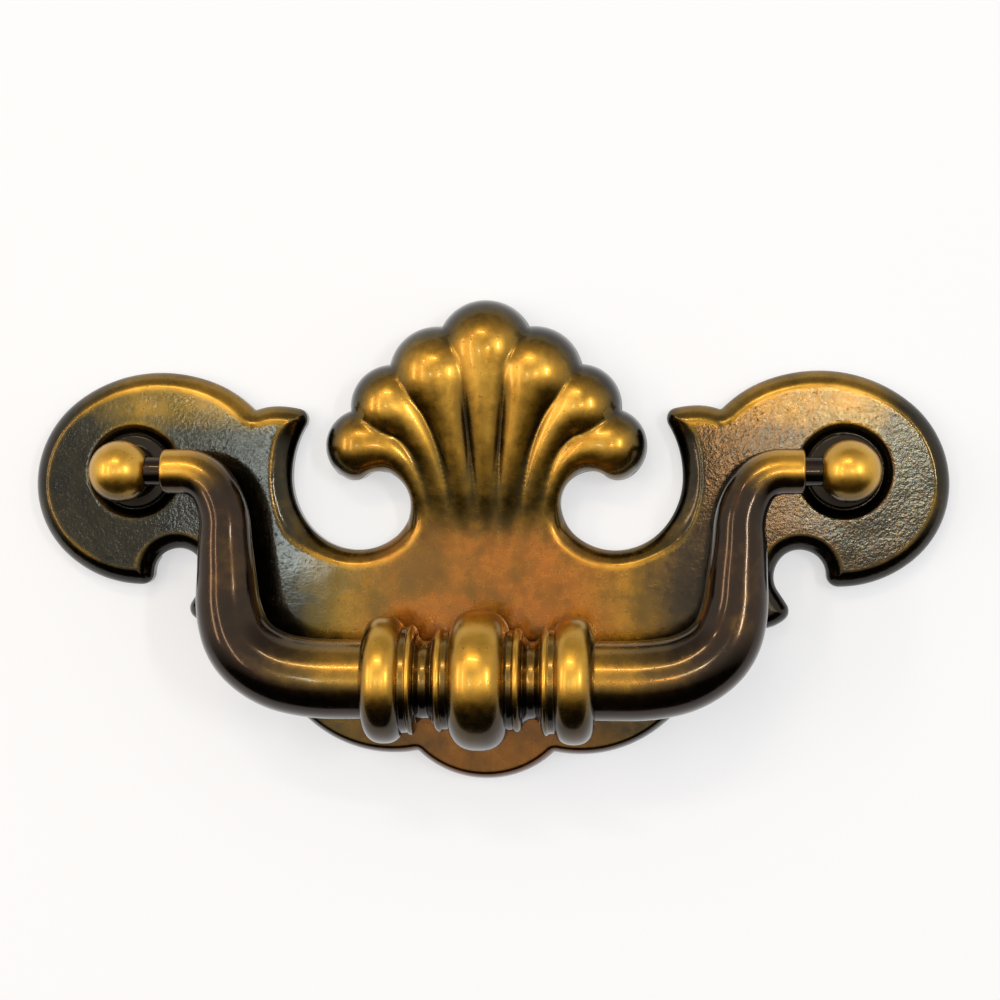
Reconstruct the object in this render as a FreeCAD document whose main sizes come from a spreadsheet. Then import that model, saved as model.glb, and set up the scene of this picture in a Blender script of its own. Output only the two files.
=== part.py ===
import FreeCAD, Part
import math
import os
from FreeCAD import Placement, Rotation, Vector

# Bail pull: a pierced cast backplate with a fluted shell, two ball-headed posts and a swinging bail.
# Frame: +X right, +Z up, the front looks along -Y, and the back rests on the plane Y = 0.
# The origin lies midway between the two post axes. All sizes are in millimetres.

SIZES = {
    # Backplate
    "post_centres": 76.2,
    "plate_thickness": 3.0,
    "edge_bevel": 0.9,
    "corner_round": 0.35,
    "ear_hollow_radius": 9.4,
    "ear_hollow_depth": 1.2,
    "shell_hollow_radius": 8.6,
    "shell_hollow_depth": 2.4,
    "shell_hollow_rise": 6.0,
    "dish_radius": 4.6,
    "dish_depth": 0.7,
    "boss_radius": 5.4,
    # Shell
    "rib_pitch": 2.25,
    "rib_foot_rise": -7.2,
    "rib_foot_radius": 1.5,
    "rib_foot_height": 2.7,
    "lobe_depth": 1.6,
    "lobe_radius_top": 5.3,
    "lobe_radius_upper": 5.25,
    "lobe_radius_middle": 4.5,
    "lobe_radius_low": 4.0,
    # Posts
    "pin_height": 9.0,
    "ball_radius": 3.25,
    "neck_radius": 2.6,
    "collar_radius": 4.0,
    "collar_height": 0.8,
    "spigot_radius": 2.9,
    "stake_radius": 3.8,
    "stake_depth": 0.9,
    "screw_hole_radius": 1.73,
    "screw_hole_length": 6.3,
    "fit_clearance": 0.05,
    # Bail
    "pin_radius": 1.5,
    "pin_clearance": 0.06,
    "pin_end_play": 0.5,
    "pin_length": 5.4,
    "shoulder_gap": 4.6,
    "shoulder_round": 0.35,
    "arm_radius": 2.32,
    "bar_radius": 4.12,
    "arm_inset": 7.0,
    "arm_lean": 0.3,
    "shoulder_length": 2.1,
    "elbow_drop": 6.2,
    "knee_rise": 9.15,
    "knee_reach": 2.95,
    "foot_rise": 2.2,
    "foot_reach": 11.55,
    "bail_drop": 21.65,
    "rest_gap": 0.2,
    "core_radius": 3.95,
    "barrel_radius": 7.3,
    "barrel_width": 6.4,
    "inner_bead_radius": 5.4,
    "inner_bead_width": 1.44,
    "inner_bead_place": 3.98,
    "outer_bead_radius": 5.7,
    "outer_bead_width": 1.26,
    "outer_bead_place": 6.99,
    "ring_radius": 6.6,
    "ring_width": 4.4,
    "ring_place": 9.83,
}

# Outline of the plate, right half, clockwise from the top of the stalk.
# Each point: X, Z, direction on arrival and on leaving, in degrees from +X towards +Z.
STALK_AND_BAY = (
    (0.0, 12.0, 0, 0),
    (7.6, 6.0, -80, -80),
    (8.06, -3.4, -90, -90),
    (13.86, -8.5, 0, 0),
)
# The same for the horn, the ear and the hook, with X from the post's axis
HORN_EAR_AND_HOOK = (
    (-16.99, -0.6, 90, 90),
    (-18.48, 4.95, 121, 121),
    (-17.9, 6.75, 14, 14),
    (-12.94, 6.58, -19.7, 45.3),
    (-2.6, 10.72, 0, 0),
    (11.15, -1.4, -90, -90),
    (-0.5, -12.27, 180, 180),
    (-1.75, -11.05, 91, 91),
    (-4.6, -8.35, 180, 180),
    (-7.35, -11.2, -92, -92),
    (-5.95, -14.2, -57, -57),
    (-6.18, -15.81, -140, -140),
    (-8.98, -16.83, 180, 180),
    (-14.6, -20.3, -107, -107),
)
LOWER_EDGE = (
    (7.36, -30.13, 169.3, -136.5),
    (0.0, -33.09, 180, 180),
)
# Edge of the bay under the lowest lobe, which trims the lobe
LOBE_TRIM = (
    (8.06, -3.5, 90, 90),
    (11.56, 0.02, 0, 0),
    (14.3, -0.75, -42, -42),
)
# Ribs from the middle outwards: size name of the lobe, lobe centre, and the two inner
# control points of the cubic that carries the rib down to its foot
RIBS = (
    ("lobe_radius_top", (0.0, 13.1), (0.0, 7.0), (0.0, 0.0)),
    ("lobe_radius_upper", (5.2, 10.35), (4.0, 6.5), (2.3, 0.0)),
    ("lobe_radius_middle", (10.1, 7.0), (7.0, 5.6), (4.5, -0.5)),
    ("lobe_radius_low", (13.3, 2.75), (8.6, 3.2), (6.8, -1.0)),
)
ROOT_SHARE = 0.98  # radius of a rib where it leaves its lobe, as a share of the lobe's
RIB_TAPER = 3.6  # how fast a rib narrows below its lobe
RIB_FALL = 1.35  # how early its crest comes down
RIB_STATIONS = (0.0, 0.14, 0.3, 0.5, 0.72, 1.0)  # sections along a rib, as shares of its path
# The same along an arm
ARM_STATIONS = (0.06, 0.1, 0.14, 0.18, 0.22, 0.3, 0.44, 0.5, 0.55, 0.6, 0.65, 0.71, 0.8, 0.9, 1.0)
ARM_SIDES = 20  # flats round a section of the arm
BALL_FACETS = 6  # turned steps from the ball's front to its back


class Sizes:
    """The spreadsheet of driving dimensions, read by name."""

    def __init__(self, doc):
        self.sheet = doc.addObject("Spreadsheet::Sheet", "sizes")
        for row, (name, value) in enumerate(SIZES.items(), 1):
            self.sheet.set(f"A{row}", name)
            self.sheet.set(f"B{row}", str(value))
            self.sheet.setAlias(f"B{row}", name)
        doc.recompute()

    def __getattr__(self, name):
        return float(self.sheet.get(name))


def unit(angle):
    return (math.cos(math.radians(angle)), math.sin(math.radians(angle)))


def arc_from(start, tangent, end):
    """The arc that leaves start along tangent and ends at end: (start, middle, end)."""
    dx = end[0] - start[0]
    dz = end[1] - start[1]
    normal = (-tangent[1], tangent[0])
    offset = 2 * (dx * normal[0] + dz * normal[1])
    if abs(offset) < 1e-7:
        return (start, ((start[0] + end[0]) / 2, (start[1] + end[1]) / 2), end)
    radius = (dx * dx + dz * dz) / offset
    cx = start[0] + normal[0] * radius
    cz = start[1] + normal[1] * radius
    first = math.atan2(start[1] - cz, start[0] - cx)
    turn = (math.atan2(end[1] - cz, end[0] - cx) - first) % (2 * math.pi)
    if radius < 0:
        turn -= 2 * math.pi
    middle = first + turn / 2
    return (start, (cx + abs(radius) * math.cos(middle), cz + abs(radius) * math.sin(middle)), end)


def arc_pair(start, start_angle, end, end_angle):
    """Two tangent arcs from start to end with the given directions at the ends."""
    a = unit(start_angle)
    b = unit(end_angle)
    vx = end[0] - start[0]
    vz = end[1] - start[1]
    along = vx * (a[0] + b[0]) + vz * (a[1] + b[1])
    square = vx * vx + vz * vz
    spread = 2 * (1 - a[0] * b[0] - a[1] * b[1])
    if spread < 1e-9:
        reach = square / (4 * (vx * b[0] + vz * b[1]))
    else:
        reach = (math.sqrt(along * along + spread * square) - along) / spread
    joint = tuple((start[i] + end[i] + reach * (a[i] - b[i])) / 2 for i in (0, 1))
    second = arc_from(end, (-b[0], -b[1]), joint)
    return [arc_from(start, a, joint), (joint, second[1], end)]


def round_corners(points, radius):
    """Replaces each sharp corner by two points with a small arc between them."""
    result = []
    for x, z, arrive, leave in points:
        if arrive == leave:
            result.append((x, z, arrive))
            continue
        turn = abs((leave - arrive + 180) % 360 - 180)
        back = radius * math.tan(math.radians(turn) / 2)
        a = unit(arrive)
        b = unit(leave)
        result.append((x - back * a[0], z - back * a[1], arrive))
        result.append((x + back * b[0], z + back * b[1], leave))
    return result


def arcs_through(points):
    arcs = []
    for start, end in zip(points, points[1:]):
        arcs += arc_pair(start[:2], start[2], end[:2], end[2])
    return arcs


def mirrored(arcs):
    return [tuple((-x, z) for x, z in reversed(arc)) for arc in reversed(arcs)]


def plate_arcs(size):
    """The whole outline of the plate as a closed chain of tangent arcs."""
    post_x = size.post_centres / 2
    ear = tuple((post_x + x, z, arrive, leave) for x, z, arrive, leave in HORN_EAR_AND_HOOK)
    half = round_corners(STALK_AND_BAY + ear + LOWER_EDGE, size.corner_round)
    arcs = arcs_through(half)
    return arcs + mirrored(arcs)


def curve(points):
    vectors = [Vector(x, z, 0) for x, z in points]
    if (vectors[1] - (vectors[0] + vectors[2]) / 2).Length < 1e-6:
        return Part.LineSegment(vectors[0], vectors[2])
    return Part.Arc(*vectors)


def origin_plane(body, role):
    return next(f for f in body.Origin.OriginFeatures if f.Role == role)


def add_sketch(body, name, curves, role="XZ_Plane"):
    """A sketch on one of the body's own origin planes."""
    sketch = body.newObject("Sketcher::SketchObject", name)
    sketch.AttachmentSupport = [(origin_plane(body, role), "")]
    sketch.MapMode = "FlatFace"
    sketch.addGeometry(curves, False)
    return sketch


def add_pad(doc, label, curves, length):
    """A body with one pad that runs from the back plane towards the front."""
    body = doc.addObject("PartDesign::Body", label)
    sketch = add_sketch(body, label + "_outline", curves)
    pad = body.newObject("PartDesign::Pad", label + "_pad")
    pad.Profile = sketch
    pad.setExpression("Length", length)
    doc.recompute()
    return body


def add_cylinder(doc, label, radius, height, place, axis=Vector(0, -1, 0)):
    """A cylinder with bound sizes; place holds the expressions of its foot."""
    solid = doc.addObject("Part::Cylinder", label)
    solid.Placement = Placement(Vector(), Rotation(Vector(0, 0, 1), axis))
    solid.setExpression("Radius", radius)
    solid.setExpression("Height", height)
    bind_place(solid, place)
    return solid


def bind_place(solid, place):
    for letter, expression in zip("xyz", place):
        if expression != "0":
            solid.setExpression("Placement.Base." + letter, expression)


def fuse(doc, label, shapes):
    joined = doc.addObject("Part::MultiFuse", label)
    joined.Shapes = shapes
    doc.recompute()
    return joined


def cut(doc, label, base, tool):
    result = doc.addObject("Part::Cut", label)
    result.Base = base
    result.Tool = tool
    doc.recompute()
    return result


def loft(doc, label, sections, ruled=False):
    solid = doc.addObject("Part::Loft", label)
    solid.Sections = sections
    solid.Solid = True
    solid.Ruled = ruled
    doc.recompute()
    return solid


def add_section(doc, label, radius, centre, direction):
    circle = doc.addObject("Part::Circle", label)
    circle.setExpression("Radius", radius)
    circle.Placement = Placement(centre, Rotation(Vector(0, 0, 1), direction))
    return circle


def bezier(points, t):
    u = 1 - t
    weights = (u ** 3, 3 * u * u * t, 3 * u * t * t, t ** 3)
    return tuple(sum(w * p[i] for w, p in zip(weights, points)) for i in (0, 1))


# Backplate

def plate_blank(doc, size):
    """The flat casting with its bevelled front edge."""
    body = add_pad(doc, "plate_blank", [curve(a) for a in plate_arcs(size)], "sizes.plate_thickness")
    pad = body.Tip
    front = -size.plate_thickness
    edges = [
        f"Edge{i}" for i, edge in enumerate(pad.Shape.Edges, 1)
        if edge.BoundBox.YMax < front + 1e-4
    ]
    bevel = body.newObject("PartDesign::Chamfer", "front_edge")
    bevel.Base = (pad, edges)
    bevel.setExpression("Size", "sizes.edge_bevel")
    doc.recompute()
    return body


def shell_rib(doc, size, index, side, rib):
    """One convex rib: a round lobe and a tapering body that curves down to the stalk."""
    lobe, *path = rib
    path = path + [(index * size.rib_pitch, size.rib_foot_rise)]
    lobe_radius = getattr(size, lobe)
    top = size.lobe_depth + lobe_radius
    label = f"rib_{index}" + ("_left" if side < 0 else "_right")
    sections = []
    for number, t in enumerate(RIB_STATIONS):
        share = ROOT_SHARE * (1 - t) ** RIB_TAPER
        radius = size.rib_foot_radius + (lobe_radius - size.rib_foot_radius) * share
        crest = size.rib_foot_height + (top - size.rib_foot_height) * (1 - t ** RIB_FALL)
        x, z = bezier(path, t)
        ahead = bezier(path, min(t + 0.01, 1))
        behind = bezier(path, max(t - 0.01, 0))
        direction = Vector(side * (ahead[0] - behind[0]), 0, ahead[1] - behind[1])
        text = f"sizes.rib_foot_radius + (sizes.{lobe} - sizes.rib_foot_radius) * {share:.6f}"
        centre = Vector(side * x, radius - crest, z)
        sections.append(add_section(doc, f"{label}_section_{number}", text, centre, direction))
    ball = doc.addObject("Part::Sphere", label + "_lobe")
    ball.setExpression("Radius", "sizes." + lobe)
    ball.Placement.Base = Vector(side * path[0][0], 0, path[0][1])
    ball.setExpression("Placement.Base.y", "-sizes.lobe_depth")
    return [loft(doc, label + "_body", sections), ball]


def shell(doc, size):
    pieces = []
    for index, rib in enumerate(RIBS):
        for side in (1, -1) if index else (1,):
            pieces += shell_rib(doc, size, index, side, rib)
    return pieces


def bay_trims(doc, size):
    """Clears the open bays below the lowest lobes."""
    arcs = arcs_through(LOBE_TRIM)
    foot = (LOBE_TRIM[-1][0], LOBE_TRIM[0][1])
    lines = [
        (arcs[-1][2], ((arcs[-1][2][0] + foot[0]) / 2, (arcs[-1][2][1] + foot[1]) / 2), foot),
        (foot, ((foot[0] + arcs[0][0][0]) / 2, foot[1]), arcs[0][0]),
    ]
    loop = arcs + lines
    far = "sizes.lobe_depth + 2 * sizes.lobe_radius_top"
    right = add_pad(doc, "bay_trim_right", [curve(a) for a in loop], far)
    left = add_pad(doc, "bay_trim_left", [curve(a) for a in mirrored(loop)], far)
    return [right, left]


def ear_hollow(doc, name, sign):
    """The shallow round hollow behind an ear, less the boss round its post."""
    place = (f"{sign}sizes.post_centres / 2", "0", "0")
    hollow = add_cylinder(
        doc, "ear_hollow_" + name, "sizes.ear_hollow_radius", "sizes.ear_hollow_depth", place,
    )
    boss = add_cylinder(doc, "boss_" + name, "sizes.boss_radius", "sizes.plate_thickness", place)
    return cut(doc, "back_hollow_" + name, hollow, boss)


def shell_hollow(doc, size):
    return add_cylinder(
        doc, "shell_hollow", "sizes.shell_hollow_radius", "sizes.shell_hollow_depth",
        ("0", "0", "sizes.shell_hollow_rise"),
    )


def post_seat(doc, name, sign):
    """Dish in front, hole for the spigot and countersink for its staked end."""
    x = f"{sign}sizes.post_centres / 2"
    dish = add_cylinder(
        doc, "dish_" + name, "sizes.dish_radius", "sizes.plate_thickness",
        (x, "sizes.dish_depth - sizes.plate_thickness", "0"),
    )
    hole = add_cylinder(
        doc, "spigot_hole_" + name, "sizes.spigot_radius + sizes.fit_clearance",
        "sizes.plate_thickness", (x, "0", "0"),
    )
    sink = doc.addObject("Part::Cone", "countersink_" + name)
    sink.Placement = Placement(Vector(), Rotation(Vector(0, 0, 1), Vector(0, -1, 0)))
    sink.setExpression("Radius1", "sizes.stake_radius + sizes.fit_clearance")
    sink.setExpression("Radius2", "sizes.spigot_radius + sizes.fit_clearance")
    sink.setExpression("Height", "sizes.stake_depth")
    bind_place(sink, (x, "0", "0"))
    return [dish, hole, sink]


def behind_the_wall(doc):
    """Everything of the lobes that would pass behind the back plane."""
    block = doc.addObject("Part::Box", "behind")
    block.setExpression("Length", "sizes.post_centres")
    block.setExpression("Width", "sizes.lobe_radius_top")
    block.setExpression("Height", "sizes.post_centres")
    bind_place(block, ("-sizes.post_centres / 2", "0", "-sizes.post_centres / 2"))
    return block


def backplate(doc, size):
    blank = fuse(doc, "casting", [plate_blank(doc, size)] + shell(doc, size))
    tools = bay_trims(doc, size) + [shell_hollow(doc, size), behind_the_wall(doc)]
    for name, sign in (("right", ""), ("left", "-")):
        tools += post_seat(doc, name, sign) + [ear_hollow(doc, name, sign)]
    return cut(doc, "backplate", blank, fuse(doc, "plate_cuts", tools))


# Posts

def turned_body(doc, label, points, role, axis):
    """A body turned from a closed profile of straight runs about an axis of its sketch."""
    body = doc.addObject("PartDesign::Body", label)
    loop = list(zip(points, points[1:] + points[:1]))
    lines = [Part.LineSegment(Vector(*a, 0), Vector(*b, 0)) for a, b in loop]
    sketch = add_sketch(body, label + "_profile", lines, role)
    turning = body.newObject("PartDesign::Revolution", label + "_turning")
    turning.Profile = sketch
    turning.ReferenceAxis = (sketch, [axis])
    turning.Angle = 360
    doc.recompute()
    return body


def post_profile(size):
    """Radius and Y of the turned post, from the back to the front of the ball."""
    seat = size.plate_thickness - size.dish_depth
    meeting = math.acos(size.neck_radius / size.ball_radius)
    points = [
        (0.0, 0.0),
        (size.stake_radius, 0.0),
        (size.spigot_radius, -size.stake_depth),
        (size.spigot_radius, -seat),
        (size.collar_radius, -seat),
        (size.collar_radius, -seat - size.collar_height),
        (size.neck_radius, -seat - size.collar_height),
    ]
    for step in range(BALL_FACETS):
        angle = -meeting + (math.pi / 2 + meeting) * step / BALL_FACETS
        points.append((
            size.ball_radius * math.cos(angle), -size.pin_height - size.ball_radius * math.sin(angle),
        ))
    points.append((0.0, -size.pin_height - size.ball_radius))
    return points


def post(doc, size, name, sign):
    """Ball head, neck, collar, spigot and staked end, with the screw hole and the pin's bore."""
    x = f"{sign}sizes.post_centres / 2"
    solid = turned_body(doc, "turning_" + name, post_profile(size), "XY_Plane", "V_Axis")
    bind_place(solid, (x, "0", "0"))
    screw = add_cylinder(
        doc, "screw_hole_" + name, "sizes.screw_hole_radius", "sizes.screw_hole_length", (x, "0", "0"),
    )
    inward = Vector(-1, 0, 0) if sign == "" else Vector(1, 0, 0)
    reach = "sizes.pin_length - sizes.shoulder_gap + sizes.pin_end_play"
    bore = add_cylinder(
        doc, "bore_" + name, "sizes.pin_radius + sizes.pin_clearance", "2 * sizes.ball_radius",
        (f"{sign}(sizes.post_centres / 2 + {reach})", "-sizes.pin_height", "0"), inward,
    )
    return cut(doc, "post_" + name, solid, fuse(doc, "holes_" + name, [screw, bore]))


# Bail, drawn hanging straight down from the pin axis, which is the local X axis

def arm_path(size):
    """Centreline of the right arm from the shoulder to the middle of the outer ring."""
    shoulder = size.post_centres / 2 - size.shoulder_gap
    upright = shoulder - size.arm_inset
    bar = -size.bail_drop
    return arcs_through((
        (shoulder, 0.0, 180),
        (shoulder - size.shoulder_length, 0.0, 180),
        (upright + size.arm_lean, -size.elbow_drop, -90),
        (upright, bar + size.knee_rise, -92),
        (upright - size.knee_reach, bar + size.foot_rise, -143),
        (upright - size.foot_reach, bar, 180),
        (size.ring_place, bar, 180),
    ))


def point_on(path, share):
    """Place and direction at a share of the path's length."""
    wire = Part.Wire([curve(arc).toShape() for arc in path])
    left = share * wire.Length
    for edge in wire.OrderedEdges:
        if left <= edge.Length + 1e-9:
            break
        left -= edge.Length
    forward = edge.Orientation == "Forward"
    distance = min(left, edge.Length) if forward else max(edge.Length - left, 0.0)
    parameter = edge.getParameterByLength(distance)
    direction = edge.tangentAt(parameter)
    place = edge.valueAt(parameter)
    return Vector(place.x, 0, place.y), Vector(direction.x, 0, direction.y)


def arm_swell(share):
    """How far the arm has thickened towards the bar, from 0 to 1."""
    return (1 - math.cos(math.pi * min(1.0, share / 0.85))) / 2


def arm(doc, size, side):
    name = "left" if side < 0 else "right"
    path = arm_path(size)
    length = Part.Wire([curve(arc).toShape() for arc in path]).Length
    rounding = size.shoulder_round / length
    sections = []
    for number, share in enumerate((0.0, rounding) + ARM_STATIONS):
        place, direction = point_on(path, share)
        place.x *= side
        direction.x *= side
        radius = f"sizes.arm_radius + (sizes.bar_radius - sizes.arm_radius) * {arm_swell(share):.6f}"
        if number == 0:
            radius += " - sizes.shoulder_round"
        flats = doc.addObject("Part::RegularPolygon", f"arm_{name}_section_{number}")
        flats.Polygon = ARM_SIDES
        flats.setExpression("Circumradius", radius)
        flats.Placement = Placement(place, Rotation(Vector(0, 0, 1), direction))
        sections.append(flats)
    return loft(doc, "arm_" + name, sections, True)


def bead_profile(place, radius, width, base, facets):
    """X and radius round one bead, from its left foot on the base radius to its right foot."""
    points = []
    for step in range(facets + 1):
        angle = math.pi * (1 - step / facets)
        points.append((place + width / 2 * math.cos(angle), base + (radius - base) * math.sin(angle)))
    return points


def turned_centre(doc, size):
    """Barrel, beads, necks and outer rings, turned about the bar's axis."""
    beads = []
    for kind, facets in (("ring", 5), ("outer_bead", 3), ("inner_bead", 3)):
        place, radius, width = (getattr(size, f"{kind}_{what}") for what in ("place", "radius", "width"))
        beads += [(-place, radius, width, facets), (place, radius, width, facets)]
    beads.append((0.0, size.barrel_radius, size.barrel_width, 6))
    points = []
    for place, radius, width, facets in sorted(beads):
        points += bead_profile(place, radius, width, size.core_radius, facets)
    points = [(points[0][0], 0.0)] + points + [(points[-1][0], 0.0)]
    body = turned_body(doc, "turned_centre", points, "XY_Plane", "H_Axis")
    bind_place(body, ("0", "0", "-sizes.bail_drop"))
    return body


def bail(doc, size):
    pieces = [arm(doc, size, 1), arm(doc, size, -1)]
    for name, sign, axis in (("right", "", Vector(1, 0, 0)), ("left", "-", Vector(-1, 0, 0))):
        foot = f"{sign}(sizes.post_centres / 2 - sizes.shoulder_gap - sizes.arm_radius)"
        pieces.append(add_cylinder(
            doc, "pin_" + name, "sizes.pin_radius", "sizes.pin_length + sizes.arm_radius",
            (foot, "0", "0"), axis,
        ))
    pieces.append(turned_centre(doc, size))
    solid = fuse(doc, "bail", pieces)
    lean = (size.plate_thickness + size.barrel_radius + size.rest_gap - size.pin_height) / size.bail_drop
    solid.Placement = Placement(
        Vector(0, -size.pin_height, 0), Rotation(Vector(-1, 0, 0), math.degrees(math.asin(lean))),
    )
    doc.recompute()
    return solid


def check_and_export(doc, nodes):
    for item in doc.Objects:
        if "Invalid" in item.State or "Error" in item.State:
            raise RuntimeError(f"{item.Label} failed: {item.State}")
    os.makedirs("parts", exist_ok=True)
    for node in nodes:
        shape = node.Shape
        if shape.isNull() or not shape.isValid() or len(shape.Solids) != 1:
            raise RuntimeError(f"{node.Label} isn't one valid solid")
        box = shape.BoundBox
        print(f"{node.Label}: {shape.Volume:.1f} mm3, X {box.XMin:.2f} to {box.XMax:.2f}, "
              f"Y {box.YMin:.2f} to {box.YMax:.2f}, Z {box.ZMin:.2f} to {box.ZMax:.2f}, "
              f"{len(shape.Faces)} faces")
        shape.exportStep(f"parts/{node.Label}.step")


def main():
    doc = FreeCAD.newDocument("bail_pull")
    size = Sizes(doc)
    nodes = [
        backplate(doc, size),
        post(doc, size, "right", ""),
        post(doc, size, "left", "-"),
        bail(doc, size),
    ]
    check_and_export(doc, nodes)


main()
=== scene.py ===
import cmath
import math

import bpy
import numpy as np
from mathutils import Matrix, Vector, kdtree, noise
from mathutils.geometry import delaunay_2d_cdt


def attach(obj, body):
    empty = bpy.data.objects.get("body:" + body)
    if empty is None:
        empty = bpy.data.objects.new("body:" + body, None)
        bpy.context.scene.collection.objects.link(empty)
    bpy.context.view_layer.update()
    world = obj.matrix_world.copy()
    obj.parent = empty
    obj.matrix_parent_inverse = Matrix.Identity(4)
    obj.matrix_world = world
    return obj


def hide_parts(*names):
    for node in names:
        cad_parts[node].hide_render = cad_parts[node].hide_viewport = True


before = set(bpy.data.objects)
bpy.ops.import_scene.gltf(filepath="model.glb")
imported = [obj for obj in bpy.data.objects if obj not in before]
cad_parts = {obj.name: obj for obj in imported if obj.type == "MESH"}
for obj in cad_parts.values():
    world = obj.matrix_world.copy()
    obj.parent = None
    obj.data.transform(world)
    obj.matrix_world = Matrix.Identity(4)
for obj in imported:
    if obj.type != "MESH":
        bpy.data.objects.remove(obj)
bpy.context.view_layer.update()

# Bail pull. Lengths below are in millimetres in the frame of the part, with heights measured
# from the wall plane towards the viewer; meshes, lamps and camera are placed in metres.
MM = 0.001

# Backplate
POST_X = 38.1
PLATE_HEIGHT = 3.0
RIM_HEIGHT = 1.3
BEVEL_WIDTH = 1.65
LOWER_BEVEL = 0.8
NECK_BEVEL = 2.6
BEVEL_POWER = 1.45
# Row of points under the rim, which keeps its shading smooth
RIM_ROW = 0.12
EAR_HOLLOW = 0.03
EAR_HOLLOW_RADIUS = 9.0
DISH_RADIUS = 4.6
DISH_DEPTH = 0.7
DISH_ROUND = 0.55
CORNER_ROUND = 0.35
TRIM_ROUND = 0.85
HAMMERING = 0.006

# Shell: lobe centre and radius from the middle outwards, then the two inner control points
# of the rib's spine
RIBS = (
    ((0.0, 13.1), 5.3, (0.0, 7.0), (0.0, 0.0)),
    ((5.2, 10.35), 5.25, (4.0, 6.5), (2.3, 0.0)),
    ((10.1, 7.0), 4.5, (7.0, 5.6), (4.5, -0.5)),
    ((13.3, 2.75), 4.0, (8.6, 3.2), (6.8, -1.0)),
)
RIB_PITCH = 2.25
RIB_FOOT_RISE = -7.2
RIB_FOOT_RADIUS = 1.5
RIB_FOOT_HEIGHT = 2.7
RIB_FALL = 1.35
RIB_TAPER = 3.6
LOBE_HEIGHT = 1.6
# Rises between which the shell fades into the plate
FOOT_FADE = (-10.0, -2.0)
RIB_STEPS = 150
VALLEY_ROUND_TOP = 0.14
VALLEY_ROUND_FOOT = 0.4

# Behind the plate
SPIGOT_HOLE = 2.95
SINK_RADIUS = 3.85
SINK_DEPTH = 0.9
BACK_BOSS = 5.4
BACK_EAR_RADIUS = 9.4
BACK_EAR_DEPTH = 1.2
BACK_SHELL_RADIUS = 8.6
BACK_SHELL_DEPTH = 2.4
BACK_SHELL_RISE = 6.0
BACK_DRAFT = 0.3
BACK_POLISH = 0.3

# Right half of the outlines: X, Z, direction on arrival and on leaving in degrees
STALK = (
    (0.0, 12.0, 0, 0),
    (7.6, 6.0, -80, -80),
)
BAY_AND_HORN = (
    (8.06, -3.4, -90, -90),
    (13.86, -8.5, 0, 0),
    (21.11, -0.6, 90, 90),
    (19.62, 4.95, 121, 121),
    (20.2, 6.75, 14, 14),
)
# The ear and the hook, with X from the post's axis
EAR_AND_HOOK = (
    (-12.94, 6.58, -19.7, 45.3),
    (-2.6, 10.72, 0, 0),
    (11.15, -1.4, -90, -90),
    (-0.5, -12.27, 180, 180),
    (-1.75, -11.05, 91, 91),
    (-4.6, -8.35, 180, 180),
    (-7.35, -11.2, -92, -92),
    (-5.95, -14.2, -57, -57),
    (-6.18, -15.81, -140, -140),
    (-8.98, -16.83, 180, 180),
)
LOWER_EDGE = (
    (23.5, -20.3, -107, -107),
    (7.36, -30.13, 169.3, -136.5),
    (0.0, -33.09, 180, 180),
)
# The edge of the bay that trims the lowest lobe, from the lobe's tip inwards
TIP_ANGLE = -45
LOBE_TRIM = (
    (14.2, -0.95, 180, 180),
    (11.56, 0.02, 180, 180),
    (8.06, -3.4, -90, -90),
)

# Mesh spacings
EDGE_STEP = 0.22
EDGE_RINGS = (0.05, 0.13, 0.24, 0.38, 0.55, 0.75, 0.97, 1.2, 1.42, 1.62, 1.82)
SHELL_STEP = 0.2
FIELD_STEP = 0.31
BACK_STEP = 1.1
# Rectangles round the shell and round the whole plate
SHELL_BOX = ((-18.0, -9.0), (18.0, 19.0))
PLATE_BOX = ((-50.0, -34.0), (50.0, 19.0))
# Height given to places that a rib or the plate doesn't cover
NOTHING = -20.0

# Posts and bail
PIN_HEIGHT = 9.0
BALL_RADIUS = 3.25
NECK_RADIUS = 2.6
COLLAR_RADIUS = 4.0
COLLAR_HEIGHT = 0.8
COLLAR_ROUND = 0.3
SPIGOT_RADIUS = 2.9
STAKE_RADIUS = 3.8
SCREW_RADIUS = 1.73
SCREW_DEPTH = 6.3
PIN_RADIUS = 1.5
PIN_END = 38.9
BORE_RADIUS = 1.56
BORE_END = 39.4
# Turns the bore's facets off the seam of the ball
BORE_SPIN = 0.03
SHOULDER_X = 33.5
SHOULDER_ROUND = 0.35
ARM_RADIUS = 2.32
BAR_RADIUS = 4.12
UPRIGHT_X = 26.55
BAIL_DROP = 21.65
BAIL_LEAN = math.asin(1.5 / BAIL_DROP)
CORE_RADIUS = 3.95
# Beads of the turned centre from the ring inwards: place, width, radius, and how square they are
BEADS = (
    (9.83, 4.4, 6.6, 2.4),
    (6.99, 1.26, 5.7, 2.0),
    (3.98, 1.44, 5.4, 2.0),
    (0.0, 6.4, 7.3, 2.4),
)
COVE_RISE = 0.6
# Least radius beside the beads, on their sides away from the neck
INNER_FLOOR = 5.18
OUTER_FLOOR = 5.48
TURNS = 96
SHARP_ANGLE = math.radians(50)

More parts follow.
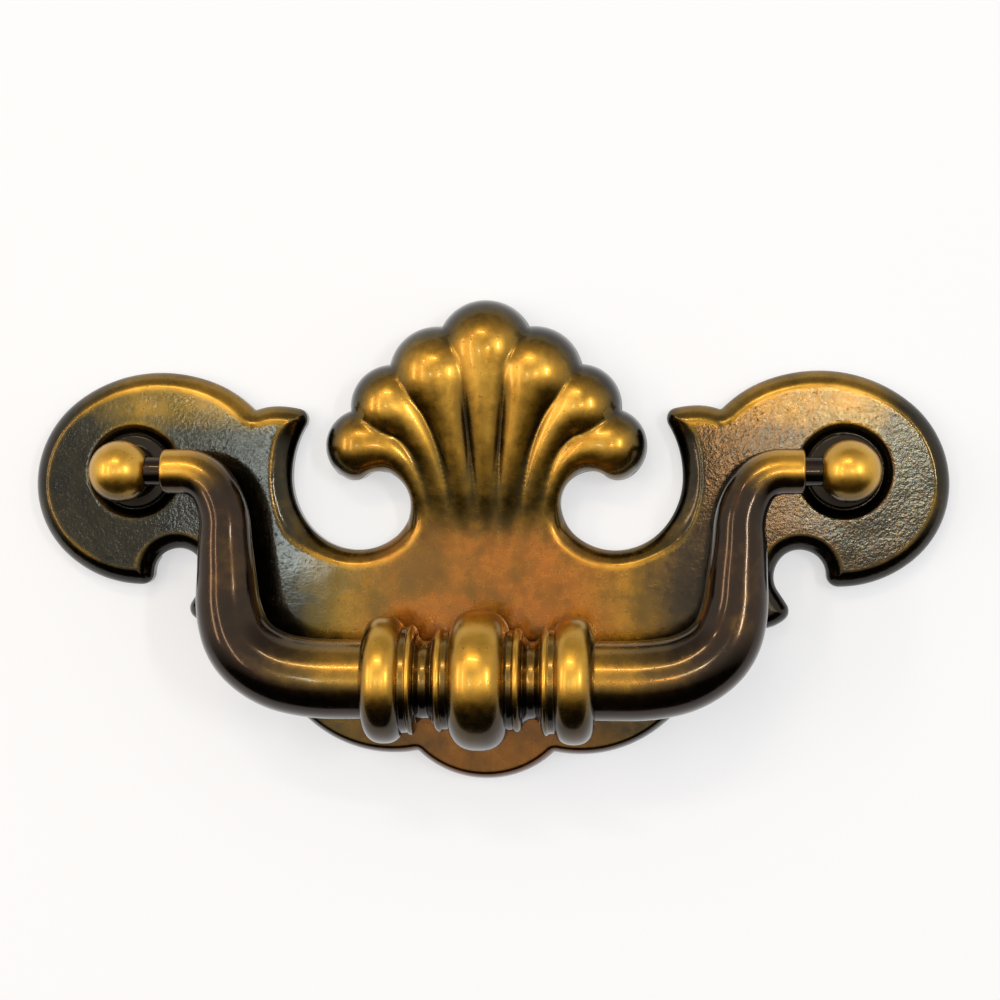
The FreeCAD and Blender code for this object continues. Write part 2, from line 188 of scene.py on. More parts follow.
# Light and camera: tones of the room from straight down to straight up
ROOM_TONES = (
    (0.0, (0.025, 0.021, 0.017)),
    (0.23, (0.035, 0.029, 0.023)),
    (0.35, (0.62, 0.57, 0.48)),
    (0.45, (1.15, 1.08, 0.94)),
    (0.75, (1.15, 1.06, 0.90)),
    (0.9, (0.64, 0.58, 0.48)),
    (1.0, (0.46, 0.41, 0.34)),
)
WALL_WHITENESS = 0.5
WALL_PAINT = (0.74, 0.81, 1.0, 1)
WALL_GAP = 0.0004
BEHIND_TONE = (0.93, 0.93, 0.93, 1)
CAMERA_LENS = 75.0
CAMERA_SENSOR = 36.0
CAMERA_NEAR = 0.01
CAMERA_PLACE = (0.018, -0.225, 0.0)
CAMERA_AIM = (0.0014, 0.0, -0.0031)
# Lamps, all aimed at the middle: place, size, power, colour
LAMPS = (
    ("window_left", (-0.172, -0.75, 0.013), (0.034, 0.032), 0.085, (0.85, 0.98, 1.0)),
    ("window_low", (-0.152, -0.75, -0.033), (0.024, 0.03), 0.06, (0.85, 0.98, 1.0)),
    ("window_middle", (0.117, -0.75, 0.02), (0.06, 0.036), 0.15, (0.85, 0.98, 1.0)),
    ("lamp_copper", (0.064, -0.75, 0.014), (0.042, 0.03), 0.16, (1.0, 0.5, 0.17)),
    ("lamp_low", (0.079, -0.75, -0.019), (0.026, 0.016), 0.035, (1.0, 0.5, 0.17)),
    ("lamp_gold", (0.128, -0.75, 0.03), (0.022, 0.015), 0.09, (1.0, 0.85, 0.3)),
    ("window_right", (0.42, -0.65, 0.1), (0.04, 0.2), 1.2, (1.0, 0.92, 0.75)),
    ("doorway", (-0.75, -0.58, 0.1), (0.08, 0.5), 1.6, (1.0, 0.72, 0.45)),
    ("hall", (-0.42, -0.68, 0.05), (0.03, 0.45), 0.7, (1.0, 0.74, 0.46)),
    ("ceiling_strip", (-0.12, -0.7, 0.55), (0.3, 0.035), 1.3, (1.0, 0.78, 0.42)),
    ("bulb", (-0.35, -0.6, 0.4), (0.03, 0.03), 0.2, (1.0, 0.6, 0.3)),
)


# Outlines, worked out with complex numbers: X + Z i

def arc(start, heading, end, step=EDGE_STEP):
    """Points of the arc that leaves start along heading and ends at end, without its end."""
    chord = end - start
    bend = cmath.phase(chord / heading)
    length = abs(chord) * (bend / math.sin(bend) if abs(bend) > 1e-6 else 1.0)
    count = max(4, math.ceil(length / step)) if abs(bend) > 0.4 else max(1, math.ceil(length / step))
    points = []
    for share in np.arange(count) / count:
        if abs(bend) < 1e-6:
            points.append(start + chord * share)
            continue
        reach = math.sin(share * bend) / math.sin(bend)
        points.append(start + chord * reach * cmath.exp(1j * (share - 1) * bend))
    return points


def arc_pair(start, start_angle, end, end_angle, step=EDGE_STEP):
    """Points of the two tangent arcs from start to end with these directions."""
    a = cmath.rect(1, math.radians(start_angle))
    b = cmath.rect(1, math.radians(end_angle))
    v = end - start
    along = (v.conjugate() * (a + b)).real
    spread = 2 * (1 - (a.conjugate() * b).real)
    if spread < 1e-9:
        reach = abs(v) ** 2 / (4 * (v.conjugate() * b).real)
    else:
        reach = (math.sqrt(along ** 2 + spread * abs(v) ** 2) - along) / spread
    joint = (start + end + reach * (a - b)) / 2
    last = end - joint
    middle = (last / abs(last)) ** 2 * b.conjugate()
    return arc(start, a, joint, step) + arc(joint, middle, end, step)


def run(nodes, step=EDGE_STEP):
    """Points along the arcs through the nodes, with each sharp corner rounded."""
    legs = []
    for x, z, arrive, leave in nodes:
        here = complex(x, z)
        if arrive == leave:
            legs.append((here, arrive))
            continue
        turn = math.radians(abs((leave - arrive + 180) % 360 - 180))
        back = CORNER_ROUND * math.tan(turn / 2)
        legs.append((here - cmath.rect(back, math.radians(arrive)), arrive))
        legs.append((here + cmath.rect(back, math.radians(leave)), leave))
    points = []
    for (start, leave), (end, arrive) in zip(legs, legs[1:]):
        points += arc_pair(start, leave, end, arrive, step)
    return points + [legs[-1][0]]


def both_halves(right):
    """A closed outline from its right half, which starts and ends on the middle line."""
    return right + [complex(-p.real, p.imag) for p in reversed(right[1:-1])]


def ear_and_lower_edge():
    ear = tuple((POST_X + x, z, arrive, leave) for x, z, arrive, leave in EAR_AND_HOOK)
    return ear + LOWER_EDGE


def plate_outline():
    return both_halves(run(STALK + BAY_AND_HORN + ear_and_lower_edge()))


def lobe_edge():
    """The scalloped edge of the shell's right half, from the top to the lowest lobe's tip."""
    points = []
    angle = math.pi / 2
    for number, (centre, radius, _, _) in enumerate(RIBS):
        here = complex(*centre)
        if number + 1 < len(RIBS):
            there = complex(*RIBS[number + 1][0])
            gap = abs(there - here)
            along = (radius ** 2 - RIBS[number + 1][1] ** 2 + gap ** 2) / (2 * gap)
            cusp = here + (there - here) / gap * complex(along, math.sqrt(radius ** 2 - along ** 2))
            end = cmath.phase(cusp - here)
            following = cmath.phase(cusp - there)
        else:
            end = math.radians(TIP_ANGLE)
        count = math.ceil(radius * (angle - end) / EDGE_STEP)
        points += [here + cmath.rect(radius, angle + (end - angle) * i / count) for i in range(count)]
        angle = following
    return points


def lobe_trim():
    centre, radius, _, _ = RIBS[-1]
    tip = complex(*centre) + cmath.rect(radius, math.radians(TIP_ANGLE))
    tip_heading = TIP_ANGLE - 90
    start = ((tip.real, tip.imag, tip_heading, tip_heading),)
    return run(start + LOBE_TRIM)


def whole_outline():
    """Edge of plate and shell together, which is what the casting's front looks like."""
    return both_halves(lobe_edge() + lobe_trim()[:-1] + run(BAY_AND_HORN + ear_and_lower_edge()))


class Edge:
    """A chain of points that tells how far other points are from it."""

    def __init__(self, points, closed=True):
        self.points = np.array([(p.real, p.imag) for p in points])
        self.closed = closed
        self.tree = kdtree.KDTree(len(points))
        for number, (x, z) in enumerate(self.points):
            self.tree.insert((x, z, 0), number)
        self.tree.balance()

    def distance(self, places):
        nearest = np.array([self.tree.find((x, z, 0))[1] for x, z in places])
        here = self.points[nearest]
        best = np.full(len(places), np.inf)
        for step in (-1, 1):
            if self.closed:
                other = self.points[(nearest + step) % len(self.points)]
            else:
                other = self.points[np.clip(nearest + step, 0, len(self.points) - 1)]
            chord = other - here
            square = np.maximum((chord ** 2).sum(1), 1e-12)
            share = np.clip(((places - here) * chord).sum(1) / square, 0, 1)
            best = np.minimum(best, np.linalg.norm(places - here - chord * share[:, None], axis=1))
        return best

    def holds(self, places):
        """Whether each place lies inside the closed chain."""
        first = self.points
        second = np.roll(self.points, -1, axis=0)
        inside = np.zeros(len(places), bool)
        for a, b in zip(first, second):
            if a[1] == b[1]:
                continue
            crosses = (a[1] > places[:, 1]) != (b[1] > places[:, 1])
            inside ^= crosses & (places[:, 0] < a[0] + (b[0] - a[0]) * (places[:, 1] - a[1]) / (b[1] - a[1]))
        return inside

    def rings(self, offsets):
        """Points beside the chain, on its inner side, at each offset."""
        ahead = np.roll(self.points, -1, axis=0) - np.roll(self.points, 1, axis=0)
        normal = np.stack((ahead[:, 1], -ahead[:, 0]), 1)
        normal /= np.linalg.norm(normal, axis=1)[:, None]
        kept = []
        for offset in offsets:
            ring = self.points + normal * offset
            far = self.distance(ring)
            kept.append(ring[far > 0.93 * offset])
        return np.concatenate(kept)


def circle(radius, x=0.0, z=0.0, step=0.3):
    count = math.ceil(2 * math.pi * radius / step)
    angles = np.arange(count) * 2 * math.pi / count
    return np.stack((x + radius * np.cos(angles), z + radius * np.sin(angles)), 1)


def lattice(low, high, step):
    """A triangular lattice over a rectangle."""
    rows = np.arange(low[1], high[1], step * math.sqrt(0.75))
    points = []
    for number, z in enumerate(rows):
        xs = np.arange(low[0] + (number % 2) * step / 2, high[0], step)
        points.append(np.stack((xs, np.full(len(xs), z)), 1))
    return np.concatenate(points)


def smooth_step(low, high, value):
    share = np.clip((value - low) / (high - low), 0, 1)
    return share * share * (3 - 2 * share)


# Front and back surface of the backplate as heights over the wall

def rib_heights(places):
    """Height of each of the seven ribs at the places, and how far across the rib they lie."""
    heights = []
    across = []
    for index, (lobe, radius, first, second) in enumerate(RIBS):
        for side in (1, -1) if index else (1,):
            path = np.array((lobe, first, second, (index * RIB_PITCH, RIB_FOOT_RISE))) * (side, 1)
            best = np.full(len(places), NOTHING)
            where = np.ones(len(places))
            for t in np.arange(RIB_STEPS + 1) / RIB_STEPS:
                u = 1 - t
                spine = (u ** 3 * path[0] + 3 * u * u * t * path[1]
                         + 3 * u * t * t * path[2] + t ** 3 * path[3])
                r = RIB_FOOT_RADIUS + (radius - RIB_FOOT_RADIUS) * u ** RIB_TAPER
                crest = RIB_FOOT_HEIGHT + (LOBE_HEIGHT + radius - RIB_FOOT_HEIGHT) * (1 - t ** RIB_FALL)
                square = ((places - spine) ** 2).sum(1)
                height = crest - r + np.sqrt(np.maximum(r * r - square, 0))
                height[square > r * r] = NOTHING
                higher = height > best
                where[higher] = np.sqrt(square[higher]) / r
                best = np.maximum(best, height)
            heights.append(best)
            across.append(where)
    return np.array(heights), np.array(across)


def bevel_width(places):
    """Narrow along the lower edge and wide where the necks border the bays."""
    out = np.abs(places[:, 0])
    neck = np.exp(-((out - 20.5) / 3.0) ** 2)
    neck *= smooth_step(-10, -6, places[:, 1]) * smooth_step(6, 3, places[:, 1])
    width = BEVEL_WIDTH + (NECK_BEVEL - BEVEL_WIDTH) * neck
    return width + (LOWER_BEVEL - BEVEL_WIDTH) * smooth_step(-13, -19, places[:, 1])


def plate_height(places, plate):
    """The bevelled plate with its dished ears and the seats of the posts."""
    off_edge = plate.distance(places)
    inside = plate.holds(places) | (off_edge < 0.03)
    depth = np.where(inside, off_edge, 0.0)
    share = np.clip(depth / bevel_width(places), 0, 1)
    rise = (1 - (1 - share) ** BEVEL_POWER) ** (1 / BEVEL_POWER)
    height = RIM_HEIGHT + (PLATE_HEIGHT - RIM_HEIGHT) * rise
    off_post = np.hypot(np.abs(places[:, 0]) - POST_X, places[:, 1])
    ear = smooth_step(EAR_HOLLOW_RADIUS + 4, EAR_HOLLOW_RADIUS - 3, off_post)
    height -= EAR_HOLLOW * ear * smooth_step(1.2, 4.5, depth)
    dish = smooth_step(DISH_RADIUS + DISH_ROUND, DISH_RADIUS - DISH_ROUND, off_post)
    height = height * (1 - dish) + (PLATE_HEIGHT - DISH_DEPTH) * dish
    height[~inside] = NOTHING
    return height, depth


def front_heights(places, plate, trim):
    ribs, across = rib_heights(places)
    flat, depth = plate_height(places, plate)
    near = trim.distance(np.abs(places) * (1, 0) + places * (0, 1))
    left = np.clip(TRIM_ROUND - near, 0, TRIM_ROUND)
    ribs = ribs - (TRIM_ROUND - np.sqrt(TRIM_ROUND ** 2 - left ** 2))
    stack = np.concatenate((ribs, flat[None, :]))
    top = stack.max(0)
    down = smooth_step(8.0, 0.0, places[:, 1])
    rounding = VALLEY_ROUND_TOP + (VALLEY_ROUND_FOOT - VALLEY_ROUND_TOP) * down
    height = top + rounding * np.log(np.exp((stack - top) / rounding).sum(0))
    height = np.maximum(height, LOBE_HEIGHT * (top < 1.0))
    fade = smooth_step(*FOOT_FADE, places[:, 1])
    height = np.where(flat > 0, flat + (height - flat) * fade, height)
    waves = [
        noise.noise((x * 0.33, z * 0.33, 4.0)) + 0.5 * noise.noise((x * 0.8, z * 0.8, 9.0))
        for x, z in places
    ]
    height += HAMMERING * np.array(waves)
    chosen = np.take_along_axis(across, ribs.argmax(0)[None, :], 0)[0]
    on_rib = smooth_step(-0.15, 0.35, ribs.max(0) - flat)
    leather = smooth_step(19, 26, np.abs(places[:, 0])) * (1 - on_rib)
    return height, plate_polish_and_painted_light(places, depth, chosen, on_rib), plate_copper(places, on_rib), leather


def plate_polish_and_painted_light(places, depth, across, on_rib):
    """How bright the metal is made: rubbed bright on ribs and ridges, dark patina in valleys and on the
    ears, lighter along the top of the ears and darker towards the bottom; with painted highlight on the
    upper bevels, ridges and dish rims, and painted shade on the lower rim and the lobe tips.
    """
    out = np.abs(places[:, 0])
    rise = places[:, 1]
    wide = bevel_width(places)
    field = 0.12 + 0.46 * smooth_step(25, 14, out) * smooth_step(4, -2, rise)
    field += 0.5 * smooth_step(2.0, 7.5, rise) * smooth_step(18, 21, out) * smooth_step(48, 38, out)
    field -= 0.14 * smooth_step(-23, -28, rise)
    # Ridge and bevel: a bright line along the ridge, which is partly rubbed edge and partly painted
    # highlight, and a lighter bevel; both are painted brighter on the upper part of the plate, where light
    # falls on them. The rim along the lower edge gets painted shade.
    upper = smooth_step(-13, -9, rise)
    ridge = np.exp(-((depth - wide) / 0.3) ** 2)
    bevel = smooth_step(1.0, 0.4, depth / wide) * smooth_step(0.0, 0.4, depth / wide)
    field += (0.08 + 0.27 * upper) * ridge + 0.12 * upper * bevel
    field *= 1 - 0.7 * smooth_step(1.0, 0.3, depth) * (1 - upper)
    # Painted light: a lighter ring round each dish, which lifts the shade on the dish's rim round the ball.
    off_post = np.hypot(out - POST_X, rise)
    field += 0.3 * np.exp(-((off_post - DISH_RADIUS - 0.35) / 0.4) ** 2)
    # Ribs: darker towards the valleys, which is patina, and darker towards the foot; the outer tips of the
    # lobes get painted shade.
    low = smooth_step(6, -5, rise)
    tip = smooth_step(13.0, 17.5, np.hypot(places[:, 0], rise))
    rib = (0.88 - 0.26 * low) - (0.78 - 0.6 * low) * across ** 3 - 0.12 * tip
    rib -= 0.05 * smooth_step(0.0, -5.0, rise)
    return np.clip(field * (1 - on_rib) + rib * on_rib, 0, 1)


def plate_copper(places, on_rib):
    """Where the finish is rubbed through to a redder tone, mostly below the shell."""
    middle = smooth_step(18, 6, np.abs(places[:, 0])) * smooth_step(-3, -9, places[:, 1])
    return 0.8 * middle * (1 - 0.6 * on_rib) * (1 - 0.4 * smooth_step(-24, -29, places[:, 1]))


def back_depths(places):
    """How deep the back is hollowed at the places."""
    off_post = np.hypot(np.abs(places[:, 0]) - POST_X, places[:, 1])
    ear = smooth_step(BACK_EAR_RADIUS + BACK_DRAFT, BACK_EAR_RADIUS, off_post)
    ear *= smooth_step(BACK_BOSS, BACK_BOSS + BACK_DRAFT, off_post)
    off_shell = np.hypot(places[:, 0], places[:, 1] - BACK_SHELL_RISE)
    shell = smooth_step(BACK_SHELL_RADIUS + BACK_DRAFT, BACK_SHELL_RADIUS, off_shell)
    sink = SINK_DEPTH * np.clip((SINK_RADIUS - off_post) / (SINK_RADIUS - SPIGOT_HOLE), 0, 1)
    return BACK_EAR_DEPTH * ear + BACK_SHELL_DEPTH * shell + sink


# Meshes

def sheet(loops, inner):
    """Triangles between closed loops of points, over the inner points, and open at the spigot holes."""
    points = np.concatenate(loops + [inner])
    edges = []
    first = 0
    for loop in loops:
        edges += [(first + i, first + (i + 1) % len(loop)) for i in range(len(loop))]
        first += len(loop)
    made = delaunay_2d_cdt([Vector(p) for p in points], edges, [], 2, 1e-6)
    flat = np.array([tuple(v) for v in made[0]])
    faces = np.array([tuple(f) for f in made[2]])
    centres = flat[faces].mean(1)
    off_post = np.hypot(np.abs(centres[:, 0]) - POST_X, centres[:, 1])
    return flat, [tuple(f) for f in faces[off_post > SPIGOT_HOLE].tolist()]


def front_points(edge, hole_rings):
    rings = edge.rings(EDGE_RINGS)
    fine = lattice(*SHELL_BOX, SHELL_STEP)
    coarse = lattice(*PLATE_BOX, FIELD_STEP)
    in_shell = (np.abs(coarse[:, 0]) < SHELL_BOX[1][0]) & (coarse[:, 1] > SHELL_BOX[0][1])
    grid = np.concatenate((fine, coarse[~in_shell]))
    grid = grid[edge.holds(grid)]
    grid = grid[edge.distance(grid) > EDGE_RINGS[-1] + 0.12]
    both = np.concatenate((rings, grid))
    off_post = np.hypot(np.abs(both[:, 0]) - POST_X, both[:, 1])
    both = both[off_post > DISH_RADIUS + DISH_ROUND + 0.1]
    return np.concatenate([both] + hole_rings)


def back_points(edge, hole_rings):
    grid = lattice(*PLATE_BOX, BACK_STEP)
    grid = grid[edge.holds(grid)]
    grid = grid[edge.distance(grid) > BACK_STEP]
    rings = edge.rings((0.3, 0.8))
    steps = (BACK_SHELL_RADIUS, BACK_SHELL_RADIUS + BACK_DRAFT)
    shell = [circle(r, 0.0, BACK_SHELL_RISE, 0.5) for r in steps]
    both = np.concatenate([grid, rings] + shell)
    off_post = np.hypot(np.abs(both[:, 0]) - POST_X, both[:, 1])
    clear = (off_post > SINK_RADIUS + 0.3) & (np.abs(off_post - BACK_EAR_RADIUS) > 0.5)
    clear &= np.abs(off_post - BACK_BOSS) > 0.5
    return np.concatenate([both[clear]] + hole_rings)


def rings_round_posts(radii, step):
    return [circle(r, side * POST_X, 0.0, step) for r in radii for side in (1, -1)]


def backplate_mesh():
    edge = Edge(whole_outline())
    plate = Edge(plate_outline())
    trim = Edge(lobe_trim()[:-1] + run(BAY_AND_HORN[:2]), closed=False)
    holes = [circle(SPIGOT_HOLE, side * POST_X, 0.0, 0.3) for side in (1, -1)]
    loops = [edge.points] + holes
    dish_rings = np.linspace(DISH_RADIUS - DISH_ROUND, DISH_RADIUS + DISH_ROUND, 10)
    near = rings_round_posts([3.3, *dish_rings], 0.24)
    flat, front_faces = sheet(loops, front_points(edge, near))
    height, polish_and_painted_light, copper, leather = front_heights(flat, plate, trim)
    behind = rings_round_posts([SINK_RADIUS, BACK_BOSS, BACK_BOSS + BACK_DRAFT, BACK_EAR_RADIUS,
                                BACK_EAR_RADIUS + BACK_DRAFT], 0.6)
    back, back_faces = sheet(loops, back_points(edge, behind))
    depth = back_depths(back)
    front_part = np.stack((flat[:, 0], -height, flat[:, 1]), 1)
    back_part = np.stack((back[:, 0], -depth, back[:, 1]), 1)
    rim_count = sum(len(loop) for loop in loops)
    row = front_part[:rim_count] + (0, RIM_ROW, 0)
    points = np.concatenate((front_part, row, back_part))
    shift = len(flat)
    back_shift = shift + rim_count
    faces = list(front_faces) + [tuple(back_shift + i for i in reversed(f)) for f in back_faces]
    first = 0
    for loop in loops:
        for i in range(len(loop)):
            a = first + i
            b = first + (i + 1) % len(loop)
            faces.append((a, shift + a, shift + b, b))
            faces.append((shift + a, back_shift + a, back_shift + b, shift + b))
        first += len(loop)
    values = {"polish_and_painted_light": np.full(len(points), BACK_POLISH), "copper": np.zeros(len(points))}
    values["polish_and_painted_light"][:shift] = polish_and_painted_light
    values["copper"][:shift] = copper
    values["leather"] = np.zeros(len(points))
    values["leather"][:shift] = leather
    values["soft"] = (np.arange(len(points)) < back_shift).astype(float)
    print("backplate:", len(points), "points,", len(faces), "faces")
    return points, faces, values


def turned_mesh(profile, turns=TURNS):
    """A solid turned about the Y axis from radius and height pairs that start and end on it."""
    angles = np.arange(turns) * 2 * math.pi / turns
    points = [(0.0, -profile[0][1], 0.0)]
    for radius, height in profile[1:-1]:
        points += [(radius * math.cos(a), -height, radius * math.sin(a)) for a in angles]
    points.append((0.0, -profile[-1][1], 0.0))
    return np.array(points), tube_faces(len(profile) - 2, turns)


def tube_faces(rings, turns):
    """Faces of a closed tube: a pole, rings of points and another pole."""
    faces = []
    last = 1 + rings * turns
    for i in range(turns):
        j = (i + 1) % turns
        faces.append((0, 1 + j, 1 + i))
        faces.append((last, last - turns + i, last - turns + j))
        for ring in range(rings - 1):
            a = 1 + ring * turns
            b = a + turns
            faces.append((a + i, a + j, b + j, b + i))
    return faces


def post_mesh():
    seat = PLATE_HEIGHT - DISH_DEPTH
    top = seat + COLLAR_HEIGHT
    profile = [
        (0.0, SCREW_DEPTH), (SCREW_RADIUS, SCREW_DEPTH), (SCREW_RADIUS, 0.25), (SCREW_RADIUS + 0.25, 0.0),
        (STAKE_RADIUS, 0.0), (SPIGOT_RADIUS, 0.9), (SPIGOT_RADIUS, seat), (COLLAR_RADIUS, seat),
        (COLLAR_RADIUS, top - COLLAR_ROUND),
    ]
    for angle in np.radians((30, 60, 90)):
        profile.append((COLLAR_RADIUS - COLLAR_ROUND + COLLAR_ROUND * math.cos(angle),
                        top - COLLAR_ROUND + COLLAR_ROUND * math.sin(angle)))
    profile += [(NECK_RADIUS + 0.3, top), (NECK_RADIUS + 0.1, top + 0.08), (NECK_RADIUS, top + 0.3)]
    meeting = -math.acos(NECK_RADIUS / BALL_RADIUS)
    for angle in np.linspace(meeting, math.pi / 2, 44)[:-1]:
        profile.append((BALL_RADIUS * math.cos(angle), PIN_HEIGHT + BALL_RADIUS * math.sin(angle)))
    profile.append((0.0, PIN_HEIGHT + BALL_RADIUS))
    points, faces = turned_mesh(profile)
    ahead = smooth_step(PIN_HEIGHT - 2.4, PIN_HEIGHT, -points[:, 1])
    # Painted shade: the lower side of each post is made darker.
    under = smooth_step(0.2, 0.9, -points[:, 2] / BALL_RADIUS)
    return points, faces, {"polish_and_painted_light": 0.2 + 0.72 * ahead * (1 - 0.5 * under), "copper": np.zeros(len(points))}


def arm_stations():
    """Place along the bail's plane, direction and radius from the shoulder to the ring."""
    nodes = (
        (SHOULDER_X, 0.0, 180, 180),
        (SHOULDER_X - 2.1, 0.0, 180, 180),
        (UPRIGHT_X + 0.25, -6.2, -90, -90),
        (UPRIGHT_X - 0.05, 9.15 - BAIL_DROP, -92, -92),
        (UPRIGHT_X - 3.0, 2.2 - BAIL_DROP, -143, -143),
        (UPRIGHT_X - 11.6, -BAIL_DROP, 180, 180),
        (BEADS[0][0], -BAIL_DROP, 180, 180),
    )
    line = np.array(run(nodes, 0.05))
    steps = np.abs(np.diff(line))
    length = np.concatenate(([0.0], np.cumsum(steps)))
    ring_side = BEADS[0][0] + BEADS[0][1] / 2
    last = length[-1] - (ring_side - BEADS[0][0])
    stations = []
    for s in np.concatenate(([0.0], SHOULDER_ROUND * (1 - np.cos(np.radians((22, 45, 68, 90)))),
                             np.arange(SHOULDER_ROUND + 0.3, last, 0.34), [last])):
        place = complex(np.interp(s, length, line.real), np.interp(s, length, line.imag))
        ahead = complex(np.interp(s + 0.1, length, line.real), np.interp(s + 0.1, length, line.imag))
        behind = complex(np.interp(s - 0.1, length, line.real), np.interp(s - 0.1, length, line.imag))
        share = min(1.0, s / length[-1] / 0.85)
        radius = ARM_RADIUS + (BAR_RADIUS - ARM_RADIUS) * (1 - math.cos(math.pi * share)) / 2
        if s < SHOULDER_ROUND:
            radius -= SHOULDER_ROUND - math.sqrt(SHOULDER_ROUND ** 2 - (SHOULDER_ROUND - s) ** 2)
        polish_and_painted_light = 0.28 + 0.62 * float(smooth_step(7.5, 1.5, s)) + 0.42 * float(smooth_step(23, last, s))
        stations.append((place, (ahead - behind) / abs(ahead - behind), radius, polish_and_painted_light))
    return stations


def centre_radius(x):
    """Radius and polish of the turned centre at x: the highest of its beads, or the hollow neck."""
    inner = BEADS[2][0] + BEADS[2][1] / 2
    outer = BEADS[1][0] - BEADS[1][1] / 2
    share = min(1.0, max(0.0, (x - inner) / (outer - inner)))
    best = (CORE_RADIUS + COVE_RISE * abs(2 * share - 1) ** 2.2, 0.62)
    for place, width, radius, power in BEADS:
        across = min(1.0, abs(x - place) / (width / 2))
        rise = (1 - across ** power) ** (1 / power)
        best = max(best, (CORE_RADIUS + (radius - CORE_RADIUS) * rise, 0.25 + 0.67 * rise))
    if x < BEADS[2][0]:
        return max(best, (INNER_FLOOR, 0.6))
    if BEADS[1][0] < x < BEADS[0][0]:
        return max(best, (OUTER_FLOOR, 0.6))
    return best


def centre_stations():
    """Stations along the turned centre, from the ring to the middle."""
    steps = set(np.round(np.linspace(4.7, 6.36, 14), 3))
    for place, width, radius, power in BEADS:
        for angle in np.linspace(0, math.pi, 2 * math.ceil(width * 4) + 9):
            across = math.copysign(abs(math.cos(angle)) ** (2 / power), math.cos(angle))
            steps.add(round(place + width / 2 * across, 3))
    stations = []
    for x in sorted(steps, reverse=True):
        if x >= 0:
            radius, polish_and_painted_light = centre_radius(x)
            stations.append((x - 1j * BAIL_DROP, -1, max(radius, CORE_RADIUS + 0.05), polish_and_painted_light))
    return stations


def bail_mesh():
    pin = [(PIN_END, 0.0), (PIN_END, PIN_RADIUS - 0.25), (PIN_END - 0.25, PIN_RADIUS),
           (SHOULDER_X + 1, PIN_RADIUS), (SHOULDER_X, PIN_RADIUS)]
    right = [(complex(x, 0.0), -1, r, 0.25) for x, r in pin] + arm_stations() + centre_stations()
    left = [
        (-place.conjugate(), complex(way).conjugate(), *rest)
        for place, way, *rest in reversed(right[:-1])
    ]
    stations = right + left
    angles = np.arange(TURNS) * 2 * math.pi / TURNS
    points = []
    polish_with_painted_shade = []
    for place, direction, radius, polish_and_painted_light in stations:
        if radius == 0:
            points.append((place.real, 0.0, place.imag))
            polish_with_painted_shade.append(polish_and_painted_light)
            continue
        side = complex(direction) * 1j
        for a in angles:
            off = radius * math.cos(a)
            # Painted shade: the lower side of the horizontal bar, rings and turned centre is made darker.
            under = float(smooth_step(0.0, 0.75, -math.cos(a) * side.imag))
            polish_with_painted_shade.append(polish_and_painted_light * (1 - 0.6 * under))
            points.append((place.real + off * side.real, radius * math.sin(a), place.imag + off * side.imag))
    swing = Matrix.Translation((0, -PIN_HEIGHT, 0)) @ Matrix.Rotation(-BAIL_LEAN, 4, "X")
    points = np.array([tuple(swing @ Vector(p)) for p in points])
    copper = smooth_step(10.5, 14, np.abs(points[:, 0])) * 0.05
    print("bail:", len(points), "points")
    return points, tube_faces(len(stations) - 2, TURNS), {"polish_and_painted_light": np.array(polish_with_painted_shade), "copper": copper}


def soften(mesh, soft):
    """Makes the edges between soft points smooth again."""
    ends = np.zeros(2 * len(mesh.edges), np.int32)
    mesh.edges.foreach_get("vertices", ends)
    sharp = np.zeros(len(mesh.edges), bool)
    mesh.edges.foreach_get("use_edge_sharp", sharp)
    sharp &= ~soft[ends.reshape(-1, 2)].all(1)
    mesh.edges.foreach_set("use_edge_sharp", sharp)


def make_piece(name, body, node, points, faces, material, values=None):
    """A mesh piece that rides on a body and stands for a node of the part."""
    mesh = bpy.data.meshes.new(name)
    mesh.from_pydata((points * MM).tolist(), [], faces)
    mesh.update()
    for key, numbers in (values or {}).items():
        attribute = mesh.attributes.new(key, "FLOAT", "POINT")
        attribute.data.foreach_set("value", numbers.astype(np.float32))
    mesh.shade_smooth()
    mesh.set_sharp_from_angle(angle=SHARP_ANGLE)
    if values and "soft" in values:
        soften(mesh, values["soft"] > 0.5)
    mesh.materials.append(material)
    piece = bpy.data.objects.new(name, mesh)
    bpy.context.scene.collection.objects.link(piece)
    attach(piece, body)
    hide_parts(node)
    return piece


def bore(piece, side):
    """Cuts the pin's bore into a post's ball from the inner side."""
    depth = (BORE_END - POST_X + 2 * BALL_RADIUS) * MM
    bpy.ops.mesh.primitive_cylinder_add(vertices=64, radius=BORE_RADIUS * MM, depth=depth)
    cutter = bpy.context.object
    cutter.rotation_mode = "ZYX"
    cutter.rotation_euler = (BORE_SPIN, math.pi / 2, 0)
    cutter.location = (side * (BORE_END * MM - depth / 2), -PIN_HEIGHT * MM, 0)
    hole = piece.modifiers.new("bore", "BOOLEAN")
    hole.object = cutter
    hole.solver = "EXACT"
    bpy.context.view_layer.objects.active = piece
    piece.select_set(True)
    bpy.ops.object.modifier_apply(modifier="bore")
    bpy.data.objects.remove(cutter)
    piece.data.set_sharp_from_angle(angle=SHARP_ANGLE)


# Materials

# Colours from full patina to bright metal
BRASS_TONES = {
    "plate": (
        (0.0, (0.006, 0.0055, 0.004)),
        (0.3, (0.022, 0.018, 0.010)),
        (0.55, (0.104, 0.065, 0.009)),
        (0.8, (0.30, 0.163, 0.016)),
        (1.0, (0.60, 0.35, 0.055)),
    ),
    "bail": (
        (0.0, (0.008, 0.0065, 0.005)),
        (0.3, (0.017, 0.012, 0.008)),
        (0.55, (0.115, 0.070, 0.014)),
        (0.8, (0.37, 0.20, 0.023)),
        (1.0, (0.60, 0.35, 0.05)),
    ),
}
COPPER = (0.29, 0.078, 0.014, 1)
STAIN = (0.026, 0.016, 0.008, 1)
